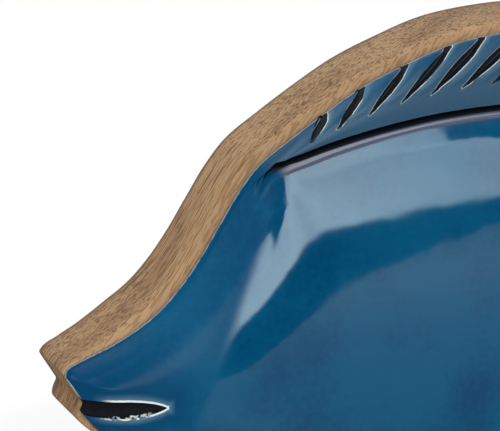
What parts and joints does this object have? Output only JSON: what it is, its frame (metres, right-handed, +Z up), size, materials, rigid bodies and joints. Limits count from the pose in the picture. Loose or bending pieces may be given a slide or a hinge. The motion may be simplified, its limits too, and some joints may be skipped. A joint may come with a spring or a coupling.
{
  "type": "turbot figurine",
  "caption": "Standing flatfish ornament: a domed, glazed ceramic relief with rayed fins, bonded to a fish-shaped wooden board with a flat-sawn belly.",
  "frame": {"origin": "centre of the overall box at its bottom, on the surface that the figurine stands on", "axes": "+Z up, the fish's snout towards -X and its tail towards +X, the glazed front towards -Y and the board's back towards +Y"},
  "size_m": [0.2672, 0.0353, 0.1571],
  "materials": {
    "oiled_wood": "oiled, open-pored",
    "blue_glaze": "deep blue gloss glaze, black in the rays and mouth",
    "adhesive": "cured adhesive",
    "felt": "pressed felt"
  },
  "bodies": {
    "root": {"wood_body": "oiled_wood", "ceramic_front": "blue_glaze", "adhesive_bead": "adhesive", "adhesive_dab_front": "adhesive", "adhesive_dab_rear": "adhesive", "felt_pad_front": "felt", "felt_pad_rear": "felt"}
  },
  "joints": []
}
